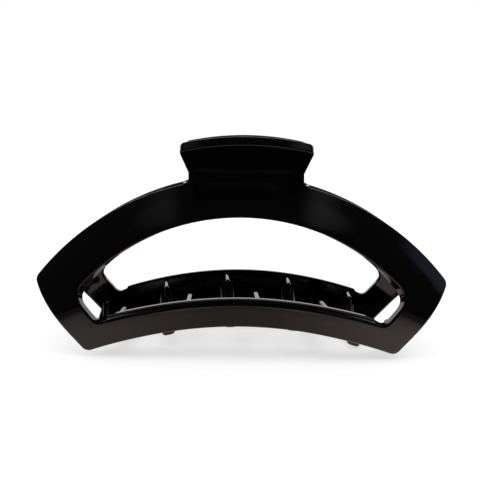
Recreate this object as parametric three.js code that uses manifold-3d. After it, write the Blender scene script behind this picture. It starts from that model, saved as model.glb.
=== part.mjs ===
// Large open-arch claw clip for hair: two curved jaws of one shape, turned 180 degrees from each other
// about the vertical axis, swinging on one steel pin and held shut by a torsion spring. Only the side
// to which the handle is shifted differs between them, so that the two handles stand opposite.
// Millimetres. +Z is up, the hinge axis runs along X, and the front jaw lies on the -Y side.
// z = 0 is the level of the lowest tooth tips, on which the closed clip stands.

import * as THREE from 'three';
import { mergeVertices } from 'three/addons/utils/BufferGeometryUtils.js';
import Module from 'manifold-3d';

// ---- driving dimensions -------------------------------------------------------------------------

const WALL = 3.8;                  // thickness of the moulded wall

const ARCH_RADIUS = 81;            // outer arch, seen from the front
const LOW_EDGE_RADIUS = 124;       // lower edge of the jaw
const END_TOP = [64.4, 21.0];      // x, z where the arch meets the end edge
const END_LOW = [46.2, 1.0];       // x, z where the end edge meets the lower edge
const END_TOP_TRIM = 1.5;          // length of each leg of the rounded corner
const END_LOW_TRIM = 1.8;

const WINDOW_TOP_RADIUS = 65.4;    // window in the jaw
const WINDOW_LOW_RADIUS = 129.7;
const WINDOW_TOP = [49.8, 18.7];
const WINDOW_LOW = [42.8, 10.1];
const WINDOW_TOP_TRIM = 4.5;
const WINDOW_LOW_TRIM = 2.4;

// Depth of the outer surface from the centre plane, against distance in from the outer arch.
const DEPTH_STATIONS = [0, 6, 13, 23, 36, 46];
const DEPTH_VALUES = [8.5, 17.0, 22.6, 25.2, 27.2, 26.6];
const CURL_START_Z = 19.4;         // below this height the wall curls back in
const CURL_RATE = 0.009;
const SQUARE_EDGE_Z = 30;          // above this height the window's edge faces straight down
const SQUARE_EDGE_FADE = 10;       // height over which the edge turns to face that way
const SILL_RISE = 1.2;             // the window's lower edge slopes up by this much towards the inside
const SILL_FADE = [39, 43];        // x between which that slope fades out
const ARCH_CENTRE_Z = END_TOP[1] - Math.sqrt(ARCH_RADIUS ** 2 - END_TOP[0] ** 2);

// Apron along the inside of the lower bar, from which the teeth stand out.
const APRON_HALF = 42;
const APRON_REACH = 7.0;           // past the wall's inner surface
const APRON_THICKNESS = 2.0;
const APRON_TOP = 3.4;             // above the lower edge, at the wall
const APRON_FALL = 3.0;            // from the wall to the apron's edge

const CREASE_Y = -8.6;             // crease between the handle's face and the jaw's shoulder
const CREASE_Z = 53.6;
const HANDLE_LEAN = Math.PI / 4;
const HANDLE_LENGTH = 13.3;        // along the face, at the middle
const HANDLE_CROWN = 3.2;          // how far the top edge falls away at the sides
const HANDLE_ROOT_HALF = 17.7;
const HANDLE_TOP_HALF = 21.2;
const HANDLE_SHIFT = 1.1;          // the handle sits this far to one side of the middle
const HANDLE_WALL = 4.0;
const HANDLE_INNER_ROOT = 2.0;     // where the inner face starts, up the handle
const HANDLE_CORNER = 1.8;         // rounded top corners
const WEB_TOP = [-4.6, 53.4];      // y, z where the handle's inner face ends
const STOP_TOP_Z = 52.6;           // ridges under the handles that meet when the clip is shut
const STOP_HEIGHT = 1.5;
const WEB_LOW = [-7.6, 4.0];       // y, and distance below the arch, where the ridge meets the wall
const WEB_FOOT = [-11.4, 3.6];     // the same for the web's foot, inside the wall
const RAIL_START = 5.0;            // rails beside the spring's leg, up the handle's inner face
const RAIL_LENGTH = 5.0;
const RAIL_WIDTH = 1.0;
const RAIL_HEIGHT = 1.1;
const RAIL_SPREAD = 1.6;           // from the leg's middle to a rail's middle
const RAIL_SINK = 0.6;             // how deep a rail starts inside the handle

const AXIS_Z = 57.4;                // hinge axis, at y = 0
const PIN_RADIUS = 1.0;
const PIN_HEAD_RADIUS = 1.9;
const PIN_HEAD_LENGTH = 1.0;
const BORE_RADIUS = 1.3;
const KNUCKLE_RADIUS = 3.2;
const KNUCKLE_LENGTH = 3.2;
const KNUCKLE_ARC = [0.66, -0.5];  // round part of the knuckle, in half turns from +Y
const KNUCKLE_ROOT = [[-12.5, 5.0], [-1.6, 2.78]];   // y, and height over the axis, at the handle
const KNUCKLE_FOOT = [[-5.6, -5.6], [-8.4, -3.6]];   // the same, in the web
const KNUCKLE_OUTER_X = 13.4;      // middle of the knuckle on the +X side of the front jaw
const KNUCKLE_INNER_X = -9.8;      // middle of the knuckle on its -X side
const CLEARANCE = 0.3;

const TOOTH_COUNT = 5;
const TOOTH_PITCH = 21;
const TOOTH_OFFSET = 5.25;         // a quarter pitch, so that turned jaws interleave
const TOOTH_REACH = 11;            // how far the tips pass the centre plane
const TOOTH_FAN = 0.08;            // narrowing of the pitch from root to tip
const TOOTH_LEAN = 1.6;            // sideways shift of every tip
const CORNER_TOOTH_X = 45.4;       // the end tooth stands in the jaw's corner and runs straight
const TOOTH_ROOT_RISE = 4.0;       // roots above the lower edge
const TOOTH_DROP = 3.9;            // tips below it
const TOOTH_BEND = [[0.3, -14, 0.55], [0.7, -2, 0.98]];  // shares of the run, y, and shares of the fall
const TOOTH_STEPS = 8;
const TOOTH_BLUNT = 0.72;          // size of the last section
const TOOTH_ROOT_WIDTH = 6.0;
const TOOTH_TIP_WIDTH = 4.2;
const TOOTH_ROOT_HEIGHT = 5.6;
const TOOTH_TIP_HEIGHT = 2.4;
const RIB_WIDTH = 1.6;
const RIB_END_Y = -9.4;            // the rib's ridge ends here, short of the centre plane
const RIB_ROUND = 1.2;
const RIB_LIFT = 0.2;              // ridge above the window's lower edge
const RIB_DEPTH = 5.5;             // from the ridge down to the rib's root in the wall
const RIB_EDGE = 0.5;              // how far the ridge's edges are lowered
const RIB_FOOT = 0.42;             // share of the tooth's length that the rib covers

const WIRE_RADIUS = 0.6;           // torsion spring
const COIL_RADIUS = 3.3;
const COIL_TURNS = 7;
const COIL_PITCH = 1.35;
const LEG_LENGTH = 11.5;
const LEG_GAP = 0.35;              // from the coil's radius to the leg's line
const LEG_X = ((COIL_TURNS + 0.25) * COIL_PITCH) / 2;

// ---- materials ----------------------------------------------------------------------------------

function plastic() {
  return new THREE.MeshStandardMaterial({ color: 0x0a0a0b, roughness: 0.12, metalness: 0 });
}

function steel() {
  return new THREE.MeshStandardMaterial({ color: 0xb8b9bb, roughness: 0.3, metalness: 1 });
}

// ---- closed bodies from rings of points -----------------------------------------------------------

// Joins rings of equal length into one closed body. An open stack gets a fan cap at each end;
// a looped stack joins its last ring to its first.
function loft(rings, looped = false) {
  const count = rings[0].length;
  const points = rings.flat();
  const faces = [];
  const last = looped ? rings.length : rings.length - 1;
  for (let i = 0; i < last; i += 1) {
    const a = i * count;
    const b = ((i + 1) % rings.length) * count;
    for (let j = 0; j < count; j += 1) {
      const k = (j + 1) % count;
      faces.push(a + j, b + j, b + k);
      faces.push(a + j, b + k, a + k);
    }
  }
  if (!looped) {
    const end = (rings.length - 1) * count;
    const first = centroid(rings[0]);
    const final = centroid(rings[rings.length - 1]);
    const firstIndex = points.push(first) - 1;
    const finalIndex = points.push(final) - 1;
    for (let j = 0; j < count; j += 1) {
      const k = (j + 1) % count;
      faces.push(firstIndex, j, k);
      faces.push(finalIndex, end + k, end + j);
    }
  }
  const geometry = new THREE.BufferGeometry().setFromPoints(points);
  geometry.setIndex(faces);
  return faceOut(geometry);
}

function centroid(ring) {
  const sum = new THREE.Vector3();
  ring.forEach((p) => sum.add(p));
  return sum.divideScalar(ring.length);
}

function signedVolume(geometry) {
  const p = geometry.attributes.position;
  const index = geometry.index.array;
  const [a, b, c] = [new THREE.Vector3(), new THREE.Vector3(), new THREE.Vector3()];
  let six = 0;
  for (let i = 0; i < index.length; i += 3) {
    a.fromBufferAttribute(p, index[i]);
    b.fromBufferAttribute(p, index[i + 1]);
    c.fromBufferAttribute(p, index[i + 2]);
    six += a.dot(b.cross(c));
  }
  return six / 6;
}

function faceOut(geometry) {
  if (signedVolume(geometry) < 0) {
    const index = geometry.index.array;
    for (let i = 0; i < index.length; i += 3) {
      [index[i + 1], index[i + 2]] = [index[i + 2], index[i + 1]];
    }
  }
  return geometry;
}

// ---- solids and booleans ------------------------------------------------------------------------

const wasm = await Module();
wasm.setup();

function solid(geometry) {
  let clean = geometry.clone();
  clean.deleteAttribute('normal');
  clean.deleteAttribute('uv');
  clean = mergeVertices(clean, 1e-4);
  return new wasm.Manifold(new wasm.Mesh({
    numProp: 3,
    vertProperties: new Float32Array(clean.attributes.position.array),
    triVerts: new Uint32Array(clean.index.array),
  }));
}

function geometryOf(body) {
  const mesh = body.getMesh();
  const geometry = new THREE.BufferGeometry();
  geometry.setAttribute('position', new THREE.BufferAttribute(new Float32Array(mesh.vertProperties), 3));
  geometry.setIndex(new THREE.BufferAttribute(new Uint32Array(mesh.triVerts), 1));
  geometry.computeVertexNormals();
  return geometry;
}

// ---- the jaw's curved surface -------------------------------------------------------------------

// Smooth interpolation through the depth stations (Catmull-Rom on uneven steps).
function depthProfile(s) {
  const x = DEPTH_STATIONS;
  const y = DEPTH_VALUES;
  const n = x.length;
  const clamped = Math.min(Math.max(s, x[0]), x[n - 1]);
  let i = 0;
  while (i < n - 2 && clamped > x[i + 1]) {
    i += 1;
  }
  const slope = (k) => {
    const lo = Math.max(k - 1, 0);
    const hi = Math.min(k + 1, n - 1);
    return (y[hi] - y[lo]) / (x[hi] - x[lo]);
  };
  const span = x[i + 1] - x[i];
  const t = (clamped - x[i]) / span;
  const h00 = 2 * t ** 3 - 3 * t ** 2 + 1;
  const h10 = t ** 3 - 2 * t ** 2 + t;
  const h01 = 3 * t ** 2 - 2 * t ** 3;
  const h11 = t ** 3 - t ** 2;
  return h00 * y[i] + h10 * span * slope(i) + h01 * y[i + 1] + h11 * span * slope(i + 1);
}

function depth(x, z) {
  const inward = ARCH_RADIUS - Math.hypot(x, z - ARCH_CENTRE_Z);
  const curl = CURL_RATE * Math.max(0, CURL_START_Z - z) ** 2;
  return depthProfile(inward) - curl;
}

// Point on the front jaw's wall, at a distance in from its outer surface. level = 1 takes it straight
// back at one height, and level = 0 takes it square to the surface.
function wallPoint(x, z, inward = 0, level = 0) {
  const step = 0.05;
  const dx = (depth(x + step, z) - depth(x - step, z)) / (2 * step);
  const dz = (depth(x, z + step) - depth(x, z - step)) / (2 * step);
  const normal = new THREE.Vector3(-dx, -1, -dz * (1 - level)).normalize();
  return new THREE.Vector3(x, -depth(x, z), z).addScaledVector(normal, -inward);
}

function arcZ(x, radius, edge) {
  const centre = edge[1] - Math.sqrt(radius ** 2 - edge[0] ** 2);
  return centre + Math.sqrt(radius ** 2 - x ** 2);
}

// Closed outline seen from the front: an upper arc, two straight ends and a lower arc, with rounded
// corners. Every outline has the same count of points, in the same order.
function outline(topRadius, top, lowRadius, low, topTrim, lowTrim) {
  const arcSteps = 26;
  const endSteps = 4;
  const cornerSteps = 4;
  const endLength = Math.hypot(top[0] - low[0], top[1] - low[1]);
  const alongEnd = (t) => [low[0] + (top[0] - low[0]) * t, low[1] + (top[1] - low[1]) * t];
  const topX = top[0] - topTrim * Math.sqrt(1 - (top[0] / topRadius) ** 2);
  const lowX = low[0] - lowTrim * Math.sqrt(1 - (low[0] / lowRadius) ** 2);
  const half = [];
  for (let i = 0; i <= arcSteps / 2; i += 1) {
    const x = topX * Math.sin((Math.PI / 2) * (i / (arcSteps / 2)) * 0.5) / Math.sin(Math.PI / 4);
    half.push([x, arcZ(x, topRadius, top)]);
  }
  corner(half, half[half.length - 1], top, alongEnd(1 - topTrim / endLength), cornerSteps);
  for (let i = 1; i <= endSteps; i += 1) {
    const from = 1 - topTrim / endLength;
    const to = lowTrim / endLength;
    half.push(alongEnd(from + (to - from) * (i / endSteps)));
  }
  corner(half, half[half.length - 1], low, [lowX, arcZ(lowX, lowRadius, low)], cornerSteps);
  for (let i = 1; i <= arcSteps / 2; i += 1) {
    const x = lowX * (1 - i / (arcSteps / 2));
    half.push([x, arcZ(x, lowRadius, low)]);
  }
  const mirrored = half.slice(1, -1).reverse().map(([x, z]) => [-x, z]);
  return half.concat(mirrored);
}

function corner(list, start, point, end, steps) {
  const curve = new THREE.QuadraticBezierCurve(
    new THREE.Vector2(...start), new THREE.Vector2(...point), new THREE.Vector2(...end));
  for (let i = 1; i <= steps; i += 1) {
    const p = curve.getPoint(i / steps);
    list.push([p.x, p.y]);
  }
}

// How much higher the window's edge is on the inside of the wall than on the outside.
function sillRise(x, z) {
  return z < WINDOW_TOP[1] ? SILL_RISE * (1 - THREE.MathUtils.smoothstep(Math.abs(x), ...SILL_FADE)) : 0;
}

// The frame of the jaw: a wall of even thickness between the outer edge and the window.
function frameRing() {
  const outer = outline(ARCH_RADIUS, END_TOP, LOW_EDGE_RADIUS, END_LOW, END_TOP_TRIM, END_LOW_TRIM);
  const inner = outline(WINDOW_TOP_RADIUS, WINDOW_TOP, WINDOW_LOW_RADIUS, WINDOW_LOW,
    WINDOW_TOP_TRIM, WINDOW_LOW_TRIM);
  const across = 4;
  const rings = outer.map(([ox, oz], i) => {
    const [wx, wz] = inner[i];
    const face = [];
    const back = [];
    for (let j = 0; j <= across; j += 1) {
      const t = j / across;
      const x = wx + (ox - wx) * t;
      const z = wz + (oz - wz) * t;
      face.push(wallPoint(x, z));
      const upper = THREE.MathUtils.smoothstep(wz, SQUARE_EDGE_Z - SQUARE_EDGE_FADE, SQUARE_EDGE_Z);
      const inside = wallPoint(x, z, WALL, upper * (1 - t));
      inside.z += sillRise(wx, wz) * (1 - t) ** 2;
      back.push(inside);
    }
    return face.concat(back.reverse());
  });
  return loft(rings, true);
}

// A sloping shelf along the inside of the lower bar, between the teeth.
function apron() {
  const columns = 16;
  const rings = [];
  for (let i = 0; i <= columns; i += 1) {
    const x = APRON_HALF * (-1 + 2 * (i / columns));
    const top = arcZ(x, LOW_EDGE_RADIUS, END_LOW) + APRON_TOP;
    const wallY = wallPoint(x, top, WALL / 2).y;
    const edgeY = wallY + WALL / 2 + APRON_REACH;
    rings.push([
      new THREE.Vector3(x, wallY, top),
      new THREE.Vector3(x, edgeY, top - APRON_FALL),
      new THREE.Vector3(x, edgeY, top - APRON_FALL - APRON_THICKNESS),
      new THREE.Vector3(x, wallY, top - APRON_THICKNESS),
    ]);
  }
  return loft(rings);
}

// ---- handle -------------------------------------------------------------------------------------

// Point of the handle: across, up its face, and in from its face.
function handlePoint(across, up, inward) {
  const s = Math.sin(HANDLE_LEAN);
  const c = Math.cos(HANDLE_LEAN);
  return new THREE.Vector3(across, CREASE_Y - up * s + inward * c, CREASE_Z + up * c + inward * s);
}

// The handle and the web under its inner face, for a handle whose middle is at x = shift.
function handle(shift) {
  const columns = 14;
  const rings = [];
  for (let i = 0; i <= columns; i += 1) {
    const u = -1 + 2 * (i / columns);
    const edge = Math.max(0, Math.abs(u) - (1 - HANDLE_CORNER / HANDLE_TOP_HALF)) * HANDLE_TOP_HALF;
    const drop = HANDLE_CORNER - Math.sqrt(Math.max(0, HANDLE_CORNER ** 2 - edge ** 2));
    const top = HANDLE_LENGTH - HANDLE_CROWN * u ** 2 - drop;
    const rootX = u * HANDLE_ROOT_HALF;
    const topX = u * (HANDLE_ROOT_HALF + (HANDLE_TOP_HALF - HANDLE_ROOT_HALF) * (top / HANDLE_LENGTH));
    const archZ = arcZ(rootX + shift, ARCH_RADIUS, END_TOP);
    rings.push([
      handlePoint(rootX, 0, 0),
      handlePoint(topX, top, 0),
      handlePoint(topX, top, HANDLE_WALL),
      handlePoint(rootX, HANDLE_INNER_ROOT, HANDLE_WALL),
      new THREE.Vector3(rootX, ...WEB_TOP),
      new THREE.Vector3(rootX, -CLEARANCE / 2, STOP_TOP_Z),
      new THREE.Vector3(rootX, -CLEARANCE / 2, STOP_TOP_Z - STOP_HEIGHT),
      new THREE.Vector3(rootX, WEB_LOW[0], archZ - WEB_LOW[1]),
      new THREE.Vector3(rootX, WEB_FOOT[0], archZ - WEB_FOOT[1]),
    ]);
  }
  const geometry = loft(rings);
  geometry.translate(shift, 0, 0);
  return geometry;
}

// ---- knuckles -----------------------------------------------------------------------------------

// A knuckle round the axis with a web back to its own handle and shoulder.
function knuckle(middleX) {
  const [start, end] = KNUCKLE_ARC.map((turn) => turn * Math.PI);
  const corner = ([y, rise]) => [y, AXIS_Z + rise];
  const shape = new THREE.Shape();
  shape.moveTo(...corner(KNUCKLE_ROOT[0]));
  shape.lineTo(...corner(KNUCKLE_ROOT[1]));
  shape.absarc(0, AXIS_Z, KNUCKLE_RADIUS, start, end, true);
  shape.lineTo(...corner(KNUCKLE_FOOT[0]));
  shape.lineTo(...corner(KNUCKLE_FOOT[1]));
  shape.closePath();
  return alongX(shape, KNUCKLE_LENGTH, middleX - KNUCKLE_LENGTH / 2);
}

// Extrudes a shape drawn as (y, z) along X, starting from a given x.
function alongX(shape, length, startX) {
  const options = { depth: length, bevelEnabled: false, curveSegments: 10 };
  const geometry = new THREE.ExtrudeGeometry(shape, options);
  const turn = new THREE.Matrix4().makeBasis(
    new THREE.Vector3(0, 1, 0), new THREE.Vector3(0, 0, 1), new THREE.Vector3(1, 0, 0));
  geometry.applyMatrix4(turn);
  geometry.translate(startX, 0, 0);
  return geometry;
}

function rod(radius, length, startX, segments = 20) {
  const geometry = new THREE.CylinderGeometry(radius, radius, length, segments);
  geometry.rotateZ(Math.PI / 2);
  geometry.translate(startX + length / 2, 0, AXIS_Z);
  return geometry;
}

// Low rails on the handle's inner face that keep the spring's leg in place.
function legRails() {
  return [-1, 1].map((side) => {
    const middle = LEG_X + side * RAIL_SPREAD;
    const rings = [middle - RAIL_WIDTH / 2, middle + RAIL_WIDTH / 2].map((at) => [
      handlePoint(at, RAIL_START, HANDLE_WALL - RAIL_SINK),
      handlePoint(at, RAIL_START, HANDLE_WALL + RAIL_HEIGHT),
      handlePoint(at, RAIL_START + RAIL_LENGTH, HANDLE_WALL + RAIL_HEIGHT),
      handlePoint(at, RAIL_START + RAIL_LENGTH, HANDLE_WALL - RAIL_SINK),
    ]);
    return loft(rings);
  });
}

// ---- teeth --------------------------------------------------------------------------------------

// Middle line of a tooth at a place along the bar, from inside the bar's wall to the tip.
function toothLine(x) {
  const edgeZ = arcZ(x, LOW_EDGE_RADIUS, END_LOW);
  const root = wallPoint(x, edgeZ + TOOTH_ROOT_RISE, WALL / 2);
  const tipZ = Math.max(edgeZ - TOOTH_DROP, 0) + TOOTH_TIP_HEIGHT / 2;
  const tipX = x < CORNER_TOOTH_X ? x * (1 - TOOTH_FAN) - TOOTH_LEAN : x;
  const bends = TOOTH_BEND.map(([run, y, fall]) => new THREE.Vector3(
    x + (tipX - x) * run, y, root.z - (root.z - tipZ) * fall));
  return new THREE.CubicBezierCurve3(root, ...bends, new THREE.Vector3(tipX, TOOTH_REACH, tipZ));
}

// The sections lie along the bar's lower edge, except at the corner tooth, which stays level.
function tooth(x) {
  const line = toothLine(x);
  const slope = x < CORNER_TOOTH_X ? -x / Math.sqrt(LOW_EDGE_RADIUS ** 2 - x ** 2) : 0;
  const across = new THREE.Vector3(1, 0, slope).normalize();
  const rings = [];
  for (let i = 0; i <= TOOTH_STEPS; i += 1) {
    const t = i / TOOTH_STEPS;
    const rise = line.getTangent(t).cross(across).negate().normalize();
    const size = i === TOOTH_STEPS ? TOOTH_BLUNT : 1;
    const width = (TOOTH_ROOT_WIDTH + (TOOTH_TIP_WIDTH - TOOTH_ROOT_WIDTH) * t) * size;
    const height = (TOOTH_ROOT_HEIGHT + (TOOTH_TIP_HEIGHT - TOOTH_ROOT_HEIGHT) * Math.sqrt(t)) * size;
    rings.push(roundedSection(line.getPoint(t), across, rise, width, height));
  }
  return loft(rings);
}

// Eight-sided section: a rectangle with cut corners, along two directions.
function roundedSection(centre, across, rise, width, height) {
  const cut = 0.32;
  const sideways = [1, 1, 1 - cut, -(1 - cut), -1, -1, -(1 - cut), 1 - cut];
  const upward = [-(1 - cut), 1 - cut, 1, 1, 1 - cut, -(1 - cut), -1, -1];
  return sideways.map((share, i) => centre.clone()
    .addScaledVector(across, share * width / 2)
    .addScaledVector(rise, upward[i] * height / 2));
}

// Thin stiffening rib that stands on a tooth. Its ridge keeps the height of the window's lower edge
// and ends in a rounded nose, short of the centre plane.
function rib(x) {
  const ridgeZ = arcZ(x, WINDOW_LOW_RADIUS, WINDOW_LOW) + RIB_LIFT;
  const startY = wallPoint(x, ridgeZ - RIB_LIFT, WALL / 2).y;
  const foot = toothLine(x).getPoint(RIB_FOOT);
  const drift = foot.x - x;
  const rings = [-1, -0.6, 0.6, 1].map((side) => {
    const top = ridgeZ - (Math.abs(side) === 1 ? RIB_EDGE : 0);
    const at = x + side * (RIB_WIDTH / 2);
    return [
      new THREE.Vector3(at, startY, ridgeZ - RIB_DEPTH),
      new THREE.Vector3(at, startY, top),
      new THREE.Vector3(at + drift * 0.6, RIB_END_Y - RIB_ROUND, top),
      new THREE.Vector3(at + drift * 0.7, RIB_END_Y - RIB_ROUND / 4, top - RIB_ROUND * 0.4),
      new THREE.Vector3(at + drift * 0.7, RIB_END_Y, top - RIB_ROUND),
      new THREE.Vector3(at + drift, Math.max(foot.y, RIB_END_Y + 1), foot.z),
    ];
  });
  return loft(rings);
}

function toothPlaces() {
  const first = -(TOOTH_COUNT - 1) / 2;
  return Array.from({ length: TOOTH_COUNT }, (_, i) => {
    return Math.min(TOOTH_OFFSET + TOOTH_PITCH * (first + i), CORNER_TOOTH_X);
  });
}

// ---- one jaw ------------------------------------------------------------------------------------

// The front jaw, with its handle's middle at x = handleShift.
function jaw(handleShift) {
  let body = solid(frameRing()).add(solid(handle(handleShift)));
  body = body.add(solid(apron()));
  [KNUCKLE_OUTER_X, KNUCKLE_INNER_X].forEach((x) => {
    body = body.add(solid(knuckle(x)));
    body = body.subtract(solid(rod(BORE_RADIUS, KNUCKLE_LENGTH * 2, x - KNUCKLE_LENGTH)));
  });
  legRails().forEach((rail) => {
    body = body.add(solid(rail));
  });
  toothPlaces().forEach((x) => {
    body = body.add(solid(tooth(x)));
    body = body.add(solid(rib(x)));
  });
  return geometryOf(body);
}

// ---- hinge pin ----------------------------------------------------------------------------------

function hingePin() {
  const reach = KNUCKLE_OUTER_X + KNUCKLE_LENGTH / 2 + CLEARANCE;
  const end = reach + PIN_HEAD_LENGTH;
  const profile = [
    [0, -end], [PIN_HEAD_RADIUS * 0.8, -end], [PIN_HEAD_RADIUS, -end + 0.3], [PIN_HEAD_RADIUS, -reach],
    [PIN_RADIUS, -reach], [PIN_RADIUS, reach], [PIN_HEAD_RADIUS, reach], [PIN_HEAD_RADIUS, end - 0.3],
    [PIN_HEAD_RADIUS * 0.8, end], [0, end],
  ].map(([r, along]) => new THREE.Vector2(r, along));
  const geometry = new THREE.LatheGeometry(profile, 20);
  geometry.rotateZ(Math.PI / 2);
  geometry.translate(0, 0, AXIS_Z);
  return geometry;
}

// ---- torsion spring -------------------------------------------------------------------------------

// The wire's middle line: front leg, coil, rear leg. Each leg lies along a handle's inner face.
function springLine() {
  const points = [];
  const c = Math.SQRT1_2;
  const legDistance = COIL_RADIUS + LEG_GAP;
  const legPoint = (side, up, x) => new THREE.Vector3(
    x, side * (-c * legDistance - c * up), AXIS_Z - c * legDistance + c * up);
  for (let i = 4; i >= 1; i -= 1) {
    points.push(legPoint(1, 1.2 + (LEG_LENGTH - 1.2) * (i / 4), LEG_X));
  }
  const startAngle = Math.PI * 1.25;
  const total = Math.PI * 2 * COIL_TURNS + Math.PI / 2;
  const steps = COIL_TURNS * 12 + 3;
  for (let i = 0; i <= steps; i += 1) {
    const a = startAngle + total * (i / steps);
    const x = LEG_X - (2 * LEG_X) * (i / steps);
    points.push(new THREE.Vector3(x, Math.cos(a) * COIL_RADIUS, AXIS_Z + Math.sin(a) * COIL_RADIUS));
  }
  for (let i = 1; i <= 4; i += 1) {
    points.push(legPoint(-1, 1.2 + (LEG_LENGTH - 1.2) * (i / 4), -LEG_X));
  }
  return points;
}

function spring() {
  const curve = new THREE.CatmullRomCurve3(springLine(), false, 'centripetal');
  const section = new THREE.Shape();
  const sides = 6;
  for (let i = 0; i < sides; i += 1) {
    const a = (i / sides) * Math.PI * 2;
    const p = [Math.cos(a) * WIRE_RADIUS, Math.sin(a) * WIRE_RADIUS];
    if (i === 0) {
      section.moveTo(...p);
    } else {
      section.lineTo(...p);
    }
  }
  section.closePath();
  return new THREE.ExtrudeGeometry(section, { steps: 110, bevelEnabled: false, extrudePath: curve });
}

// ---- assembly -------------------------------------------------------------------------------------

function named(name, geometry, material) {
  const mesh = new THREE.Mesh(geometry, material);
  mesh.name = name;
  return mesh;
}

const clip = new THREE.Group();
clip.add(named('front_jaw', jaw(HANDLE_SHIFT), plastic()));

const turned = new THREE.Group();
turned.rotation.z = Math.PI;
turned.add(named('rear_jaw', jaw(-HANDLE_SHIFT), plastic()));
clip.add(turned);

clip.add(named('hinge_pin', hingePin(), steel()));
clip.add(named('torsion_spring', spring(), steel()));

export default clip;
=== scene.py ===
"""Visual model of a large open-arch claw clip: glossy black jaws, a steel hinge pin and a torsion spring.

Dimensions are in millimetres and turn into metres when a mesh is made. Distances in the materials and
on the floor are in metres. +X runs along the hinge pin, the front jaw lies on the -Y side, and +Z is up.
The clip stands on z = 0.
"""

import math

import bmesh
import bpy
import numpy as np
from mathutils import Matrix, Quaternion, Vector


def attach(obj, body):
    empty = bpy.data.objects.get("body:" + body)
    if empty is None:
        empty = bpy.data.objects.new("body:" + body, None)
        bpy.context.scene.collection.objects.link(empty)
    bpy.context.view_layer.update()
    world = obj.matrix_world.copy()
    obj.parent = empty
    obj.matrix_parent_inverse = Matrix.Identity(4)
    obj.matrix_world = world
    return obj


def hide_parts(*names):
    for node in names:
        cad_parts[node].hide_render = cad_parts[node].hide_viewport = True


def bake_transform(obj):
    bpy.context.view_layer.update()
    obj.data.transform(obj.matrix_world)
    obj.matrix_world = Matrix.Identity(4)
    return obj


MM = 0.001

# ---- the jaw's driving dimensions, as in the CAD part ------------------------------------------

WALL = 3.8
ARCH_RADIUS = 81.0
LOW_EDGE_RADIUS = 124.0
END_TOP = (64.4, 21.0)
END_LOW = (46.2, 1.0)
END_TOP_TRIM = 1.5
END_LOW_TRIM = 1.8
WINDOW_TOP_RADIUS = 65.4
WINDOW_LOW_RADIUS = 129.7
WINDOW_TOP = (49.8, 18.7)
WINDOW_LOW = (42.8, 10.1)
WINDOW_TOP_TRIM = 4.5
WINDOW_LOW_TRIM = 2.4

DEPTH_STATIONS = np.array([0.0, 6.0, 13.0, 23.0, 36.0, 46.0])
DEPTH_VALUES = np.array([8.5, 17.0, 22.6, 25.2, 27.2, 26.6])
CURL_START_Z = 19.4
CURL_RATE = 0.009
SQUARE_EDGE_Z = 30.0
SQUARE_EDGE_FADE = 10.0
SILL_RISE = 1.2
SILL_FADE = (39.0, 43.0)
ARCH_CENTRE_Z = END_TOP[1] - math.sqrt(ARCH_RADIUS**2 - END_TOP[0] ** 2)

APRON_HALF = 42.0
APRON_REACH = 7.0
APRON_THICKNESS = 2.0
APRON_TOP = 3.4
APRON_FALL = 3.0

CREASE_Y = -8.6
CREASE_Z = 53.6
HANDLE_LEAN = math.pi / 4
HANDLE_LENGTH = 13.3
HANDLE_CROWN = 3.2
HANDLE_ROOT_HALF = 17.7
HANDLE_TOP_HALF = 21.2
HANDLE_SHIFT = 1.1
HANDLE_WALL = 4.0
HANDLE_INNER_ROOT = 2.0       # where the inner face starts, up the handle
WEB_TOP = (-4.6, CREASE_Z - 0.2)    # y, z where the handle's inner face ends
STOP_TOP_Z = 52.6
STOP_HEIGHT = 1.5
WEB_LOW = (-7.6, 4.0)         # y, and distance below the arch, where the ridge meets the wall
RAIL_START = 5.0              # rails beside the spring's leg, up the handle's inner face
RAIL_LENGTH = 5.0
RAIL_WIDTH = 1.0
RAIL_HEIGHT = 1.1
RAIL_SPREAD = 1.6             # from the leg's middle to a rail's middle
RAIL_SINK = 0.6               # how deep a rail starts inside the handle

AXIS_Z = 57.4
PIN_RADIUS = 1.0
PIN_HEAD_RADIUS = 1.9
PIN_HEAD_LENGTH = 1.0
BORE_RADIUS = 1.3
KNUCKLE_RADIUS = 3.2
KNUCKLE_LENGTH = 3.2
KNUCKLE_ARC_START = 0.66      # round part of the knuckle, in half turns from +Y
KNUCKLE_ARC_SWEEP = 1.16
KNUCKLE_ROOT = ((-12.5, 5.0), (-1.6, KNUCKLE_RADIUS * 0.87))    # y, and height over the axis
KNUCKLE_FOOT = ((-5.6, -5.6), (-8.4, -3.6))
KNUCKLE_OUTER_X = 13.4
KNUCKLE_INNER_X = -9.8
CLEARANCE = 0.3

TOOTH_COUNT = 5
TOOTH_PITCH = 21.0
TOOTH_OFFSET = 5.25
TOOTH_REACH = 11.0
TOOTH_FAN = 0.08
TOOTH_LEAN = 1.6
CORNER_TOOTH_X = 45.4
TOOTH_ROOT_RISE = 4.0         # roots above the lower edge
TOOTH_DROP = 3.9
TOOTH_BEND_ROOT = (0.3, -14, 0.55)   # share of the run, y, and share of the fall from the root
TOOTH_BEND_TIP = (0.7, -2, 0.02)     # share of the run, y, and share of the fall from the tip
TOOTH_ROOT_SIZE = (6.0, 5.6)
TOOTH_TIP_SIZE = (4.2, 2.4)
RIB_WIDTH = 1.6
RIB_END_Y = -9.4
RIB_LIFT = 0.2                # ridge above the window's lower edge
RIB_DEPTH = 5.5               # from the ridge down to the rib's root in the wall
RIB_FOOT = 0.42               # share of the tooth's length that the rib covers
RIB_FOOT_RUN = 1              # the least distance from the ridge's end to the rib's foot

WIRE_RADIUS = 0.6
COIL_RADIUS = 3.3
COIL_TURNS = 7
COIL_PITCH = 1.35
LEG_LENGTH = 11.5
LEG_START = 1.2               # where a leg leaves the coil, along its line
LEG_GAP = 0.35                # from the coil's radius to the leg's line
LEG_X = (COIL_TURNS + 0.25) * COIL_PITCH / 2

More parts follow.
